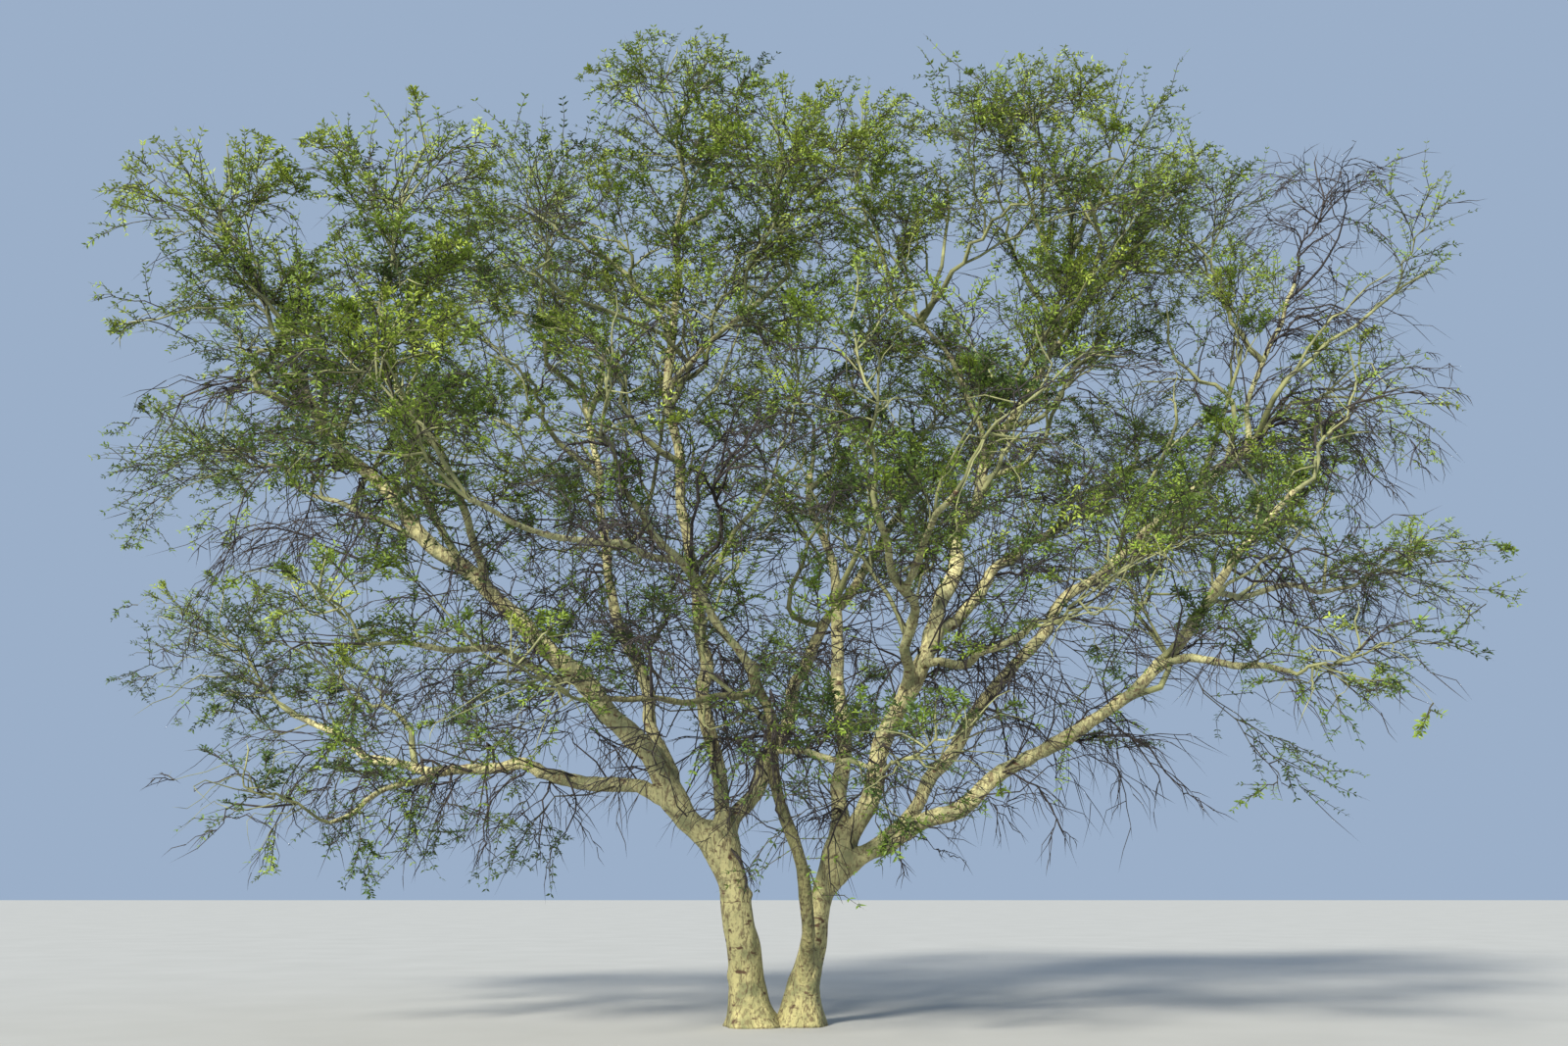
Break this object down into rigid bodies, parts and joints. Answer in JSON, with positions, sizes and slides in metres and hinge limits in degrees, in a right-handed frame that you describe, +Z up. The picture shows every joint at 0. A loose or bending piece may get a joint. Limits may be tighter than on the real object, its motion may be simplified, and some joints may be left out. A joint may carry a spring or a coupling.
{
  "type": "acacia tree",
  "caption": "Wide acacia tree with short forked trunks from one root, long leaning yellow-green limbs and an open crown of feathery foliage masses.",
  "frame": {"origin": "on the flat ground cut under the left trunk, at the mount ground", "axes": "+Z up; the front of the tree, as pictured, faces -Y; +X to the right of that view, along the crown's widest reach"},
  "size_m": [18.7958, 12.1023, 13.046],
  "materials": {
    "bark": "matt, slightly flaky",
    "young_bark": "matt, smooth",
    "leaves": "satin",
    "dead_twigs": "matt"
  },
  "bodies": {
    "root": {"trunk_left": "bark", "trunk_right": "bark", "limb_left_main": "bark", "limb_column": "bark", "limb_centre_right": "bark", "limb_left_low": "bark", "limb_left_back": "bark", "bough_left_fork": "young_bark", "bough_left_out": "young_bark", "bough_left_mid": "young_bark", "bough_left_foot": "young_bark", "bough_column_fork": "young_bark", "limb_right_centre": "bark", "limb_right_column": "bark", "limb_right_low": "bark", "limb_right_mid": "bark", "stem_front": "bark", "bough_front_left": "young_bark", "bough_front_flat": "young_bark", "bough_front_low": "young_bark", "bough_centre_low": "young_bark", "bough_right_low": "young_bark", "bough_right_flat": "young_bark", "bough_right_top": "young_bark", "bough_front_right": "young_bark", "bough_front_fork": "young_bark", "bough_right_front": "young_bark", "bough_right_back": "bark", "bough_right_curl": "young_bark", "bough_right_up": "young_bark", "foliage_left_top": "leaves", "foliage_left_out": "leaves", "foliage_left_crown": "leaves", "foliage_left_mid": "leaves", "foliage_left_low": "leaves", "foliage_left_foot": "leaves", "foliage_back_high": "leaves", "foliage_back_left": "leaves", "foliage_top": "leaves", "foliage_top_front": "leaves", "foliage_back_centre": "leaves", "foliage_front_left": "leaves", "foliage_front_flat": "leaves", "foliage_front_low": "leaves", "foliage_centre_low": "leaves", "foliage_right_main": "leaves", "foliage_right_low": "leaves", "foliage_right_flat": "leaves", "foliage_right_out": "leaves", "dead_right_top": "dead_twigs", "foliage_back_top": "leaves", "foliage_right_crown": "leaves", "foliage_front_centre": "leaves", "foliage_front_fork": "leaves", "foliage_right_front": "leaves", "foliage_right_back": "leaves", "foliage_top_right": "leaves", "foliage_top_centre": "leaves", "dead_centre": "dead_twigs", "foliage_right_mid": "leaves"}
  },
  "joints": []
}
